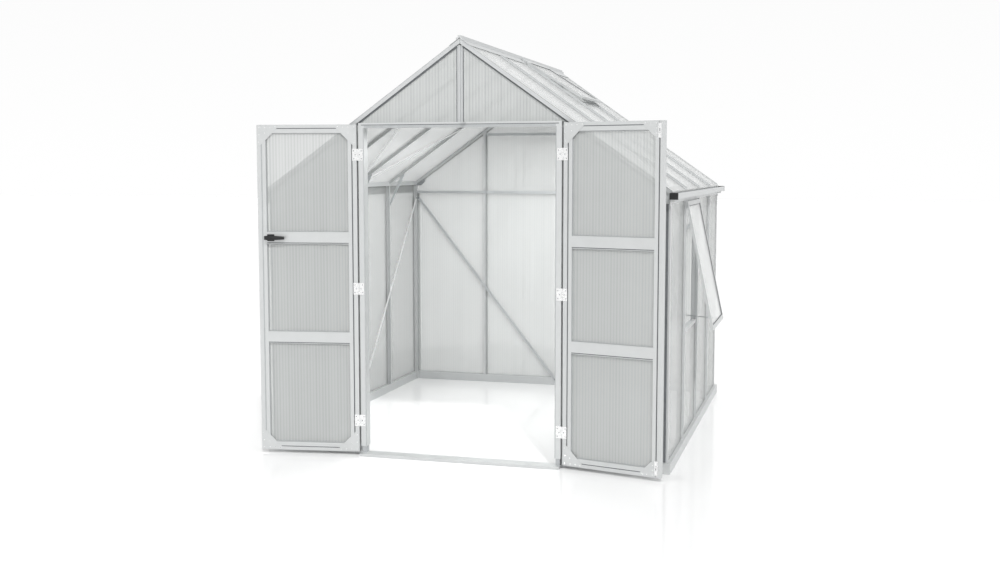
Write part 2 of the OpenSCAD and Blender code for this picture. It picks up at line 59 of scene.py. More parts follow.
# %% Helpers for materials
def colour(hex_value):
    """An sRGB hex value as linear red, green, blue and a full alpha."""
    parts = [int(hex_value[i:i + 2], 16) / 255 for i in (1, 3, 5)]
    return (*[c / 12.92 if c <= 0.04045 else ((c + 0.055) / 1.055) ** 2.4 for c in parts], 1.0)


def add(tree, kind, settings=None, links=None):
    """One node: settings name its properties or sockets, links name (node, output) for a socket."""
    made = tree.nodes.new(kind)
    for key, value in (settings or {}).items():
        if isinstance(key, int) or key in made.inputs:
            made.inputs[key].default_value = value
        else:
            setattr(made, key, value)
    for key, (other, output) in (links or {}).items():
        tree.links.new(other.outputs[output], made.inputs[key])
    return made


def start(name):
    """A new material with an empty node tree, and its object coordinates."""
    material = bpy.data.materials.new(name)
    material.use_nodes = True
    tree = material.node_tree
    tree.nodes.clear()
    return material, tree, add(tree, "ShaderNodeTexCoord")


def close(material, tree, shader):
    add(tree, "ShaderNodeOutputMaterial", {}, {"Surface": (shader, "BSDF")})
    print("material:", material.name)
    return material


# %% [markdown]
# ## Extruded aluminium
# Mill-finish aluminium leaves the die with a satin skin: light grey, metallic, with faint dull
# and bright patches a hand's width across and a very fine grain. Its skin of oxide scatters about
# half of the light, so it never turns as dark as a mirror would. The same recipe serves the bars,
# the doors' heavier profiles, which are a little brighter, and the back wall's ties and braces and
# the door posts' feet, which are duller. The flat braces of the roof and the side walls are
# galvanised strip, as satin as aluminium, so they share its recipe. Their near-white tone is a
# painted highlight that stands for brightly lit braces. The grain is really under 0.1 mm, so it
# is drawn at 1.5 mm to show at all.

# %% Aluminium materials
def aluminium(name, dull, bright, rough_low, rough_high, grain_mm=1.5, grain_depth=0.00004):
    material, tree, at = start(name)
    patches = add(tree, "ShaderNodeTexNoise", {"Scale": 1 / 0.09, "Detail": 3.0, "Roughness": 0.6},
                  {"Vector": (at, "Object")})
    grain = add(tree, "ShaderNodeTexNoise", {"Scale": 1000 / grain_mm, "Detail": 1.0},
                {"Vector": (at, "Object")})
    tone = add(tree, "ShaderNodeMix", {"data_type": "RGBA", 6: colour(dull), 7: colour(bright)},
               {0: (patches, "Fac")})
    rough = add(tree, "ShaderNodeMapRange", {"From Min": 0.3, "From Max": 0.7, "To Min": rough_low,
                                             "To Max": rough_high}, {"Value": (patches, "Fac")})
    skin = add(tree, "ShaderNodeBump", {"Strength": 0.6, "Distance": grain_depth},
               {"Height": (grain, "Fac")})
    shader = add(tree, "ShaderNodeBsdfPrincipled", {"Metallic": 0.5},
                 {"Roughness": (rough, "Result"), "Normal": (skin, "Normal")})
    tree.links.new(tone.outputs[2], shader.inputs["Base Color"])
    return close(material, tree, shader)


bar_metal = aluminium("mill_finish_aluminium_bars", "#C6C8C9", "#D3D5D5", 0.40, 0.52)
door_metal = aluminium("satin_anodised_aluminium_doors", "#C8CACA", "#D4D6D6", 0.36, 0.46)
tie_metal = aluminium("oxidised_aluminium_ties", "#B4B7B9", "#C3C6C7", 0.45, 0.58, 2.5, 0.0001)
# Painted highlight: the braces' near-white colour stands for their brightly lit faces.
brace_highlight_metal = aluminium("strip_braces_painted_highlight", "#E9EAEA", "#F3F3F3", 0.35, 0.45)

# %% [markdown]
# ## Steel
# Hinges and flush bolts are bright plated steel and catch the light more than anything else on
# the house. Brackets and bolts are zinc plated: greyer, with the crystal patches of zinc, which
# are about 6 mm across.

# %% Steel materials
def zinc_plated_steel(name, dark, light, rough_low, rough_high, crystal_mm):
    material, tree, at = start(name)
    crystals = add(tree, "ShaderNodeTexVoronoi", {"Scale": 1000 / crystal_mm, "Randomness": 1.0},
                   {"Vector": (at, "Object")})
    value = add(tree, "ShaderNodeSeparateColor", {}, {"Color": (crystals, "Color")})
    tone = add(tree, "ShaderNodeMix", {"data_type": "RGBA", 6: colour(dark), 7: colour(light)},
               {0: (value, "Red")})
    rough = add(tree, "ShaderNodeMapRange", {"To Min": rough_low, "To Max": rough_high},
                {"Value": (value, "Green")})
    shader = add(tree, "ShaderNodeBsdfPrincipled", {"Metallic": 1.0},
                 {"Roughness": (rough, "Result")})
    tree.links.new(tone.outputs[2], shader.inputs["Base Color"])
    return close(material, tree, shader)


bright_steel = zinc_plated_steel("bright_plated_steel", "#F1F2F2", "#F9F9F9", 0.22, 0.30, 9.0)
zinc_steel = zinc_plated_steel("zinc_plated_steel", "#8E9194", "#AEB1B3", 0.30, 0.48, 6.0)

# %% [markdown]
# ## Fluted polycarbonate
# A twin-wall sheet is two thin clear skins joined by ribs. From a step away the eye can't see
# through it clearly: it sees a pale grey-green veil with fine upright lines, some lighter, some
# darker. The ribs are 6 mm apart, which is too fine to draw, so the lines are drawn 19 mm apart,
# with slow streaks over them. Lines and streaks run along the flutes, so the pattern only changes
# across them: a Mapping node turns it to lie along each wall. Alpha lets the far side show.

# %% Twin-wall sheet materials
ONE_LINE_PER_METRE = 0.314159       # the wave texture's scale for a spacing of one metre
STREAKS_PER_METRE = 42.0


def twin_wall(name, turn, veil, low, high, flute_mm=19.0):
    """Lines turn degrees about z from running across x; veil is how much the sheet hides."""
    material, tree, at = start(name)
    across = add(tree, "ShaderNodeMapping", {"Rotation": (0, 0, math.radians(turn))},
                 {"Vector": (at, "Object")})
    ribs = add(tree, "ShaderNodeTexWave",
               {"Scale": ONE_LINE_PER_METRE / (flute_mm / 1000), "Distortion": 0.0},
               {"Vector": (across, "Vector")})
    squeeze = add(tree, "ShaderNodeMapping", {"Scale": (STREAKS_PER_METRE, 0.0, 0.0)},
                  {"Vector": (across, "Vector")})
    streaks = add(tree, "ShaderNodeTexNoise", {"Scale": 1.0, "Detail": 1.0},
                  {"Vector": (squeeze, "Vector")})
    both = add(tree, "ShaderNodeMath", {"operation": "MULTIPLY_ADD", 1: 0.7},
               {0: (ribs, "Fac"), 2: (streaks, "Fac")})
    tone = add(tree, "ShaderNodeMapRange", {"From Min": 0.45, "From Max": 1.05},
               {"Value": (both, "Value")})
    shade = add(tree, "ShaderNodeMix", {"data_type": "RGBA", 6: colour(low), 7: colour(high)},
                {0: (tone, "Result")})
    cover = add(tree, "ShaderNodeMapRange", {"To Min": veil + 0.08, "To Max": veil - 0.04},
                {"Value": (tone, "Result")})
    relief = add(tree, "ShaderNodeBump", {"Strength": 0.35, "Distance": 0.0004},
                 {"Height": (ribs, "Fac")})
    shader = add(tree, "ShaderNodeBsdfPrincipled", {"Roughness": 0.22, "IOR": 1.585},
                 {"Alpha": (cover, "Result"), "Normal": (relief, "Normal")})
    tree.links.new(shade.outputs[2], shader.inputs["Base Color"])
    return close(material, tree, shader)


LEFT_OPEN, RIGHT_OPEN = 171.0, 166.0      # how far each leaf stands open, in degrees
# Painted light and shade: every wall is the same sheet, but each copy has its own tone, lightest on
# the roof, then the back, darker on the front and the leaves, darkest on the sides.
sheet_front = twin_wall("twin_wall_sheet_front", 0.0, 0.66, "#B8BBBA", "#D4D6D5")
sheet_back = twin_wall("twin_wall_sheet_back", 0.0, 0.53, "#C7CAC9", "#E1E3E2")
sheet_side = twin_wall("twin_wall_sheet_sides", -90.0, 0.56, "#B0B3B2", "#CACCCB")
sheet_roof = twin_wall("twin_wall_sheet_roof", -90.0, 0.56, "#DADCDB", "#F0F1F1")
sheet_left = twin_wall("twin_wall_sheet_left_leaf", LEFT_OPEN - 180, 0.54, "#B6B9B8", "#D4D6D5")
sheet_right = twin_wall("twin_wall_sheet_right_leaf", 180 - RIGHT_OPEN, 0.54, "#B9BCBB", "#D6D8D7")

# %% [markdown]
# ## Plastic and rubber
# The lever and the gutter's end caps are black nylon, moulded in a lightly etched tool, so they
# are matt with a fine orange-peel. The sash seals are EPDM rubber, dusty grey where they are
# handled; the same dark rubber is also painted shade in the door grooves, along the header and
# down the corner posts. The pale grey rubber wedges the door panes, and is also lighter painted
# shade in one flush groove and under the header. A clip of white plastic holds each gutter.

# %% Plastic and rubber materials
def moulded(name, dark, light, rough, texture_mm, depth):
    material, tree, at = start(name)
    etch = add(tree, "ShaderNodeTexNoise", {"Scale": 1000 / texture_mm, "Detail": 2.0},
               {"Vector": (at, "Object")})
    dust = add(tree, "ShaderNodeTexNoise", {"Scale": 1 / 0.03, "Detail": 3.0},
               {"Vector": (at, "Object")})
    tone = add(tree, "ShaderNodeMix", {"data_type": "RGBA", 6: colour(dark), 7: colour(light)},
               {0: (dust, "Fac")})
    skin = add(tree, "ShaderNodeBump", {"Strength": 0.5, "Distance": depth},
               {"Height": (etch, "Fac")})
    shader = add(tree, "ShaderNodeBsdfPrincipled", {"Roughness": rough, "IOR": 1.5},
                 {"Normal": (skin, "Normal")})
    tree.links.new(tone.outputs[2], shader.inputs["Base Color"])
    return close(material, tree, shader)


black_nylon = moulded("moulded_black_nylon", "#101112", "#1D1E20", 0.42, 1.2, 0.00008)
# Also painted shade: its dark strips stand for shadowed grooves and gaps.
rubber_and_painted_shade = moulded("epdm_rubber_seal_and_painted_shade", "#5A5D5F", "#74777A", 0.65, 2.0, 0.0001)
# Also painted shade: its strips in a flush groove and under the header stand for soft shade.
pale_rubber_and_shade = moulded("pale_grey_rubber_and_painted_shade", "#A3A6A7", "#B8BBBC", 0.60, 2.0, 0.0001)
white_plastic = moulded("moulded_white_plastic", "#DADBDB", "#E9EAEA", 0.40, 1.5, 0.00006)

# %% [markdown]
# ## Finishes for the imported pieces
# Each imported piece keeps its shape and only gets its finish here. Sheets take the material whose
# flutes run their way, with the tone of painted light and shade that is picked for their wall.

# %% Give every imported piece its material
finishes = {
    sheet_front: ["front_sheets"],
    sheet_back: ["back_sheets"],
    sheet_side: ["side_sheets"],
    sheet_roof: ["roof_sheets", "window_pane", "vent_pane"],
    sheet_left: ["left_door_panes"],
    sheet_right: ["right_door_panes"],
    door_metal: ["left_door_stiles", "left_door_rails", "left_door_gussets", "right_door_stiles",
                 "right_door_rails", "right_door_gussets", "window_sash", "vent_sash", "door_posts",
                 "door_header", "door_sill", "base_corner_blocks"],
    tie_metal: ["door_post_feet", "back_braces", "knee_braces", "back_tie_rail",
                "back_gable_rail"],
    brace_highlight_metal: ["side_wall_braces", "roof_braces"],
    bright_steel: ["post_hinge_plates", "left_door_hinge_plates", "right_door_hinge_plates",
                   "flush_bolt_plates", "flush_bolt_top", "flush_bolt_bottom"],
    zinc_steel: ["eave_brackets", "brace_bolts", "stay_pin", "window_stay"],
    black_nylon: ["latch_roses", "latch_handle", "gutter_end_caps"],
}
chosen = {name: material for material, names in finishes.items() for name in names}
for name, piece in nodes.items():
    piece.data.materials.clear()
    piece.data.materials.append(chosen.get(name, bar_metal))
print("finished packed pieces:", len(nodes))

# %% [markdown]
# ## Tools for making small pieces
# Every added piece starts from a bmesh shape. A box gets its edges rounded, because no extruded
# or moulded edge is truly sharp, and the round-over is what catches a line of light. A screw is a
# short cone with a socket sunk in its head. When a piece is done its normals are recalculated, it
# is parented to the body that it moves with, and the imported pieces that it stands for are hidden.

# %% Helpers for shapes
def edges_of(made):
    """The edges of what a bmesh operator has just made."""
    return {edge for vert in made["verts"] for edge in vert.link_edges}


def round_off(bm, edges, radius, segments):
    bmesh.ops.bevel(bm, geom=list(edges), offset=radius, offset_type="OFFSET", segments=segments,
                    profile=0.5, affect="EDGES", material=-1, clamp_overlap=True)


def rounded_box(bm, low, high, radius=0.0008, segments=2):
    low, high = Vector(low), Vector(high)
    place = Matrix.Translation((low + high) / 2) @ Matrix.Diagonal((*(high - low), 1))
    round_off(bm, edges_of(bmesh.ops.create_cube(bm, size=1.0, matrix=place)), radius, segments)


def facing(point, normal):
    """A place at point whose z axis looks along normal."""
    turn = Vector(normal).to_track_quat("Z", "Y").to_matrix().to_4x4()
    return Matrix.Translation(Vector(point)) @ turn


def headed_screw(bm, point, normal, radius, height, sides=16, socket=True):
    """A screw, rivet or nut head standing on a face, with a socket sunk in it."""
    place = facing(point, normal) @ Matrix.Translation((0, 0, height / 2))
    taper = 0.78 if sides > 6 else 1.0      # a hexagon nut has straight sides
    made = bmesh.ops.create_cone(bm, cap_ends=True, cap_tris=False, segments=sides, radius1=radius,
                                 radius2=radius * taper, depth=height, matrix=place)
    top = max({face for vert in made["verts"] for face in vert.link_faces},
              key=lambda face: face.calc_center_median().dot(Vector(normal)))
    if socket:
        bmesh.ops.inset_region(bm, faces=[top], thickness=radius * 0.32, depth=0.0)
        bmesh.ops.translate(bm, vec=Vector(normal).normalized() * -height * 0.55, verts=top.verts)
    else:
        bmesh.ops.inset_region(bm, faces=[top], thickness=radius * 0.3, depth=height * 0.25)


def finish_piece(name, bm, material, body, stands_for=(), place=None, smooth=False):
    """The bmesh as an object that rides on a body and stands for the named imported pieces."""
    if place is not None:
        bmesh.ops.transform(bm, matrix=place, verts=bm.verts)
    bmesh.ops.recalc_face_normals(bm, faces=bm.faces)
    mesh = bpy.data.meshes.new(name)
    bm.to_mesh(mesh)
    bm.free()
    mesh.materials.append(material)
    for polygon in mesh.polygons:
        polygon.use_smooth = smooth
    piece = bpy.data.objects.new(name, mesh)
    bpy.context.scene.collection.objects.link(piece)
    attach(piece, body)
    if stands_for:
        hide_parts(*stands_for)
    print("piece:", name, len(mesh.polygons), "faces")
    return piece


# %% [markdown]
# ## Where a door leaf is
# A leaf is easiest to think of lying flat: x runs from its hinge pin to its free edge, and the
# face that looks into the house when shut is y = -0.002. One matrix then carries that drawing to
# where the open leaf stands. The left leaf is the right one mirrored.

# %% The leaves' places and sizes, in metres
HINGE_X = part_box("door_sill")[1].x + 0.005
HINGE_Y = -0.032
LEAF_W, LEAF_T, STILE_W, LEAF_START, LEAF_GAP = 0.616, 0.028, 0.054, 0.006, 0.002
LEAF_Z0, LEAF_Z1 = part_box("left_door_stiles")[0].z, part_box("left_door_stiles")[1].z
GROOVE = (0.025, 0.032)
GROOVE_MID = LEAF_W - (GROOVE[0] + GROOVE[1]) / 2
MID_RAILS = [(0.675, 0.747), (1.279, 1.351)]
RAIL_H = 0.050
HINGES = [0.177, 0.977, 1.776]


def leaf_place(side):
    flip = Matrix.Diagonal((-1, 1, 1, 1))
    swing = Matrix.Rotation(math.radians(LEFT_OPEN if side < 0 else RIGHT_OPEN), 4, "Z")
    place = Matrix.Translation((HINGE_X, HINGE_Y, 0)) @ swing @ flip
    return flip @ place if side < 0 else place


SIDES = {"left": -1, "right": 1}
print("leaf from", round(LEAF_Z0, 3), "to", round(LEAF_Z1, 3), "m")

# %% [markdown]
# ## Seals and painted groove shade in the doors
# Both faces of every stile and rail have a groove, and each pane is bedded in a slim wedge seal.
# A dark strip sunk in each groove is painted shade: it darkens the groove into the fine lines
# that the eye finds on the open doors. Each is a long box with rounded edges, set just below the
# face. The wedges are pale, and so is the painted shade in the left leaf's free stile, which lies
# almost flush.

# %% Groove strips and pane wedges
CLEAR, LEAF_WEDGE = 0.0002, 0.0036        # the seals' play in the metal, and the wedges' width


def pane_heights():
    """The lower and the upper edge of each pane in a leaf."""
    edges = [LEAF_Z0 + RAIL_H, *[z for pair in MID_RAILS for z in pair], LEAF_Z1 - RAIL_H]
    return list(zip(edges[0::2], edges[1::2]))


def strip_in_groove(bm, low, high, radius=0.0006):
    """The same strip in the inner and the weather face of a leaf; y is the depth below a face."""
    inner, weather = -LEAF_GAP, -LEAF_GAP - LEAF_T
    for y0, y1 in ((inner - high[1], inner - low[1]), (weather + low[1], weather + high[1])):
        rounded_box(bm, (low[0], y0, low[2]), (high[0], y1, high[2]), radius)


for name, side in SIDES.items():
    dark, pale = bmesh.new(), bmesh.new()
    x0, x1 = LEAF_START + STILE_W, LEAF_W - STILE_W
    # Painted shade: a strip in each stile's groove, dark, and pale where it lies almost flush.
    for start_x in (LEAF_START + GROOVE[0], LEAF_W - GROOVE[1]):
        free = start_x > 0.3
        top, low = LEAF_Z1 - 0.002, LEAF_Z0 + 0.002
        if free and side > 0:               # the flush bolts run in this stile's groove
            top, low = LEAF_Z1 - 0.098, LEAF_Z0 + 0.098
        flush = free and side < 0
        depth = (0.0008, 0.0044) if flush else (0.0052, 0.0088)
        strip_in_groove(pale if flush else dark, (start_x + 0.0003, depth[0], low),
                        (start_x + 0.0067, depth[1], top))
    # Painted shade: a dark strip in each rail's groove.
    for z in (LEAF_Z0 + 0.020, LEAF_Z1 - 0.025, *(pair[0] + 0.003 for pair in MID_RAILS)):
        strip_in_groove(dark, (x0 + CLEAR, 0.0004, z + CLEAR), (x1 - CLEAR, 0.0019, z + 0.0048),
                        0.0004)
    for z0, z1 in pane_heights():
        for low, high in (((x0 + CLEAR, z0), (x0 + LEAF_WEDGE, z1)),
                          ((x1 - LEAF_WEDGE, z0), (x1 - CLEAR, z1)),
                          ((x0, z0 + CLEAR), (x1, z0 + LEAF_WEDGE)),
                          ((x0, z1 - LEAF_WEDGE), (x1, z1 - CLEAR))):
            strip_in_groove(pale, (low[0], 0.0075, low[1]), (high[0], 0.0109, high[1]), 0.0007)
    finish_piece(f"{name}_painted_groove_shade_strips", dark, rubber_and_painted_shade, f"{name}_leaf",
                 place=leaf_place(side))
    finish_piece(f"{name}_pane_wedge_seals", pale, pale_rubber_and_shade, f"{name}_leaf",
                 place=leaf_place(side))

# %% [markdown]
# ## Rivets in the corner plates
# Each leaf is held square by a pressed plate in every corner. Dome rivets go through the plate
# into the stile and the rail. Where a flush bolt runs down the stile, the rivets keep clear of it.
# A rivet is a low cone whose flat top is inset and lifted into a dome.

# %% Corner plate rivets
RAIL_RIVETS = [(0.048, 0.012), (0.080, 0.012), (0.112, 0.009)]
STILE_RIVETS = [(0.012, 0.012), (0.012, 0.055), (0.010, 0.100), (0.046, 0.046)]
BOLT_SIDE_RIVETS = [(0.046, 0.038), (0.046, 0.066)]
PLATE_INSET = 0.003                       # from the leaf's edge to the plate's
for name, side in SIDES.items():
    bm = bmesh.new()
    for free in (False, True):
        for top in (False, True):
            others = BOLT_SIDE_RIVETS if side > 0 and free else STILE_RIVETS
            for across, up in RAIL_RIVETS + others:
                x = LEAF_START + PLATE_INSET + across
                z = LEAF_Z0 + PLATE_INSET + up
                x = LEAF_W + LEAF_START - x if free else x
                z = LEAF_Z1 + LEAF_Z0 - z if top else z
                headed_screw(bm, (x, -0.0005, z), (0, 1, 0), 0.0030, 0.0006, 12, socket=False)
    finish_piece(f"{name}_corner_plate_rivets", bm, bright_steel, f"{name}_leaf",
                 place=leaf_place(side))

# %% [markdown]
# ## Hinge screws
# A butt hinge has three screws in each plate, set in a zigzag so that they don't split one line
# of the wall behind. They are countersunk, so only a thin disc with its socket stands proud.

# %% Screws in both halves of every hinge
# Each hole's place up the plate, and out from the pin
HINGE_HOLES = [(0.012, 0.024), (0.035, 0.014), (0.058, 0.024)]
HEAD_R, HEAD_H, PLATE_FACE = 0.0034, 0.00017, 0.0002
for name, side in SIDES.items():
    bm = bmesh.new()
    for z in HINGES:
        for up, out in HINGE_HOLES:
            headed_screw(bm, (out, -PLATE_FACE, z + up), (0, 1, 0), HEAD_R, HEAD_H)
    finish_piece(f"{name}_leaf_hinge_screws", bm, zinc_steel, f"{name}_leaf",
                 place=leaf_place(side))
bm = bmesh.new()
for side in SIDES.values():
    for z in HINGES:
        for up, out in HINGE_HOLES:
            headed_screw(bm, (side * (HINGE_X - out), HINGE_Y + PLATE_FACE, z + up), (0, -1, 0),
                         HEAD_R, HEAD_H)
finish_piece("post_hinge_screws", bm, zinc_steel, "house")

# %% [markdown]
# ## The lever
# The left leaf is shut by a black lever on an oblong rose, with the same lever on the weather
# side. The part holds them as plain blocks and a spindle. Here the rose gets soft corners, and
# the lever is a bar drawn out of a round boss: it is thick around the spindle, slims towards both
# ends, and a bevel rounds it all along.

# %% Roses and lever
LEVER_U, LEVER_Z = 0.538, (MID_RAILS[1][0] + MID_RAILS[1][1]) / 2
ROSE_HALF_W, ROSE_HALF_H, ROSE_T = 0.022, 0.021, 0.008
bm = bmesh.new()
for y0 in (-LEAF_GAP, -LEAF_T - LEAF_GAP - ROSE_T):
    rounded_box(bm, (LEVER_U - ROSE_HALF_W, y0, LEVER_Z - ROSE_HALF_H),
                (LEVER_U + ROSE_HALF_W, y0 + ROSE_T, LEVER_Z + ROSE_HALF_H), 0.0034, 4)
finish_piece("lever_roses", bm, black_nylon, "left_leaf", ("latch_roses",),
             leaf_place(-1), True)


def half_height(along):
    """Half the lever's height at a distance from its spindle, in metres."""
    if along < -0.014:
        return 0.009 + 0.004 * (along + 0.090) / 0.076
    return 0.013 if along < 0.014 else 0.013 - 0.002 * (along - 0.014) / 0.020


BOSS_R, SPINDLE_R = 0.0108, 0.004
LEVER_L, LEVER_T = 0.1236, 0.0098
# Each lever's near and far side, and the rose that its boss reaches to, all in y
SIDES_OF_LEAF = ((0.019, 0.029, 0.0065), (-LEAF_T - 0.031, -LEAF_T - 0.021, -LEAF_T - 0.0105))
bm = bmesh.new()
for y_low, y_high, y_rose in SIDES_OF_LEAF:
    boss_low, boss_high = min(y_low, y_rose), max(y_high, y_rose)
    middle, length = (boss_low + boss_high) / 2, boss_high - boss_low
    made = bmesh.ops.create_cone(bm, cap_ends=True, segments=32, radius1=BOSS_R, radius2=BOSS_R,
                                 depth=length, matrix=facing((LEVER_U, middle, LEVER_Z), (0, 1, 0)))
    round_off(bm, [edge for edge in edges_of(made)
                   if abs(edge.verts[0].co.y - edge.verts[1].co.y) < 1e-5], 0.0018, 3)
    place = (Matrix.Translation((LEVER_U - 0.028, (y_low + y_high) / 2, LEVER_Z))
             @ Matrix.Diagonal((LEVER_L, LEVER_T, 0.02, 1)))
    boss = set(bm.verts)
    bar = bmesh.ops.create_cube(bm, size=1.0, matrix=place)
    long_edges = [edge for edge in edges_of(bar)
                  if abs(edge.verts[0].co.x - edge.verts[1].co.x) > LEVER_L / 2]
    bmesh.ops.subdivide_edges(bm, edges=long_edges, cuts=9, use_grid_fill=False)
    bar_verts = [vert for vert in bm.verts if vert not in boss]
    for vert in bar_verts:
        vert.co.z = LEVER_Z + math.copysign(half_height(vert.co.x - LEVER_U), vert.co.z - LEVER_Z)
    around = {edge for vert in bar_verts for edge in vert.link_edges}
    round_off(bm, [edge for edge in around
                   if len(edge.link_faces) == 2 and edge.calc_face_angle(0) > 1.0], 0.0026, 3)
bmesh.ops.create_cone(bm, cap_ends=True, segments=24, radius1=SPINDLE_R, radius2=SPINDLE_R,
                      depth=LEAF_T + 2 * ROSE_T,
                      matrix=facing((LEVER_U, -LEAF_T / 2 - LEAF_GAP, LEVER_Z), (0, 1, 0)))
finish_piece("lever", bm, black_nylon, "handle", ("latch_handle",),
             leaf_place(-1), True)

# %% [markdown]
# ## Flush bolt covers
# Two slotted plates cover the flush bolts of the right leaf. The part has them sharp-edged. Here
# each is a thin plate with rounded edges, split around its slot into a frame of four bars, and
# fixed by a screw at each end.

# %% Flush bolt covers
COVER_H, COVER_INSET, SLOT_HALF = 0.080, 0.014, 0.003
bm = bmesh.new()
for z in (LEAF_Z0 + COVER_INSET, LEAF_Z1 - COVER_INSET - COVER_H):
    left, right, y0, y1 = GROOVE_MID - 0.010, GROOVE_MID + 0.010, -LEAF_GAP, -PLATE_FACE
    rounded_box(bm, (left, y0, z), (right, y1, z + 0.0281), 0.0006)
    rounded_box(bm, (left, y0, z + 0.0519), (right, y1, z + COVER_H), 0.0006)
    rounded_box(bm, (left, y0, z + 0.0275), (GROOVE_MID - SLOT_HALF, y1, z + 0.0525), 0.0006)
    rounded_box(bm, (GROOVE_MID + SLOT_HALF, y0, z + 0.0275), (right, y1, z + 0.0525), 0.0006)
    for up in (0.010, 0.070):
        headed_screw(bm, (GROOVE_MID, y1, z + up), (0, 1, 0), HEAD_R, 0.0009)
finish_piece("flush_bolt_covers", bm, bright_steel, "right_leaf",
             ("flush_bolt_plates",), leaf_place(1))

# %% [markdown]
# ## Weather strip and painted shade under the header
# A pale rubber strip runs down the posts, where the shut leaves press on it. Along the lower
# front edge of the header the same strip is painted shade, darkening the header's lower part.

# %% Header and post strips
post_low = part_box("door_posts")[0]
header_low, header_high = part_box("door_header")
front, back = post_low.y - 0.0014, post_low.y + 0.0002
bm = bmesh.new()
# Painted shade along the lower front edge of the header.
rounded_box(bm, (-0.582, front, header_low.z + 0.001), (0.582, back, header_low.z + 0.014), 0.0006)
for side in SIDES.values():
    low, high = sorted((side * 0.5835, side * 0.5875))
    rounded_box(bm, (low, front, 0.060), (high, back, header_low.z), 0.0006)
finish_piece("doorway_weather_strip_and_header_shade", bm, pale_rubber_and_shade, "house")

# %% [markdown]
# ## Dark beads and painted shade around the gables
# Under each sloping rafter, and on both sides of the upright bar over the door, a dark bead
# lines the corner between the bar and the sheet. A bead on the slope is a box drawn along the
# slope and then turned to the roof's pitch. The header has one thin dark strip along its front
# too, which is painted shade below its top edge, and every corner post carries a flat one down
# its face, which is the painted shade of the gap beside the open leaf.

# %% Dark beads
RIDGE_H, EAVE_H, HALF_SPAN = 2.478, 1.597, 1.25
PITCH = math.atan((RIDGE_H - EAVE_H) / HALF_SPAN)
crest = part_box("ridge_crest")[1].z - 0.018
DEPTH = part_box("back_base_rail")[1].y
corner_low, corner_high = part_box("corner_posts")
bm = bmesh.new()
for side in SIDES.values():
    lean = Matrix.Translation((0, 0, crest)) @ Matrix.Rotation(side * PITCH, 4, "Y")
    for y0, y1 in ((0.0165, 0.0220), (DEPTH - 0.0220, DEPTH - 0.0165)):
        before = set(bm.verts)
        low, high = sorted((side * 0.040, side * 1.430))
        rounded_box(bm, (low, y0, -0.0310), (high, y1, -0.0222), 0.0008)
        bead = [vert for vert in bm.verts if vert not in before]
        bmesh.ops.transform(bm, matrix=lean, verts=bead)
    # Painted shade: the dark gap beside the open leaf, as a flat strip on the corner post.
    low, high = sorted((side * (corner_high.x - 0.024), side * (corner_high.x - 0.010)))
    for y0, y1 in ((0.0186, 0.0202), (DEPTH - 0.0202, DEPTH - 0.0186)):
        rounded_box(bm, (low, y0, corner_low.z + 0.002), (high, y1, corner_high.z - 0.002), 0.0005)
    low, high = sorted((side * 0.0170, side * 0.0215))
    rounded_box(bm, (low, 0.0188, header_high.z + 0.001), (high, 0.0221, crest - 0.052), 0.0006)
# Painted shade: a thin dark line along the header's front.
rounded_box(bm, (-0.600, post_low.y - 0.0012, header_high.z - 0.0145),
            (0.600, post_low.y + 0.0002, header_high.z - 0.0105), 0.0004)
finish_piece("gable_beads_and_painted_shade", bm, rubber_and_painted_shade, "house")

# %% [markdown]
# ## Seals of the window and the vent
# A dark rubber wedge runs around each pane on both faces. Seen along the wall, the far wedge is
# the dark line that shows where the pane ends and its sash begins. The wedges are drawn flat,
# with x running from the hinge line to the pane's lower edge, and then tilted with the open sash.

# %% Sash wedges
PANE_HALF, WEDGE_TOP, WEDGE_W, HINGE_TO_PANE = 0.003, 0.0062, 0.0035, 0.022
WINDOW_OPEN, VENT_OPEN = math.radians(12), math.radians(3)
# Each sash's angle below level, and the distance from its hinge line to its pane's lower edge
SASHES = {"window": (math.radians(90) - WINDOW_OPEN, 0.772), "vent": (PITCH - VENT_OPEN, 0.440)}
for name, (slope, run) in SASHES.items():
    low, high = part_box(f"{name}_pane")
    hinge = (high.x - run * math.cos(slope) - PANE_HALF * math.sin(slope), 0,
             low.z + run * math.sin(slope) + PANE_HALF * math.cos(slope))
    x0, x1, y0, y1 = HINGE_TO_PANE + CLEAR, run - CLEAR, low.y + CLEAR, high.y - CLEAR
    bm = bmesh.new()
    for z0, z1 in ((PANE_HALF, WEDGE_TOP), (-WEDGE_TOP, -PANE_HALF)):
        for near, far in (((x0, y0), (x0 + WEDGE_W, y1)), ((x1 - WEDGE_W, y0), (x1, y1)),
                          ((x0, y0), (x1, y0 + WEDGE_W)), ((x0, y1 - WEDGE_W), (x1, y1))):
            rounded_box(bm, (*near, z0), (*far, z1), 0.0007)
    finish_piece(f"{name}_pane_wedges", bm, rubber_and_painted_shade, name,
                 place=Matrix.Translation(hinge) @ Matrix.Rotation(slope, 4, "Y"))

# %% [markdown]
# ## Bolts of the braces
# The flat braces are bolted through the bars. On the room side each bolt shows a washer and a
# hexagon nut with a stub of thread. They stand exactly where the part has its plain round heads.

# %% Hexagon nuts and washers
WALL_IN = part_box("side_wall_braces")[1].x - 0.003
BACK_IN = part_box("back_braces")[0].y


def on_slope(side, down, y, out):
    """A point at a distance down a roof slope, and out from the sheets' upper face."""
    return Vector((side * (down * math.cos(PITCH) + out * math.sin(PITCH)), y,
                   crest - down * math.sin(PITCH) + out * math.cos(PITCH)))


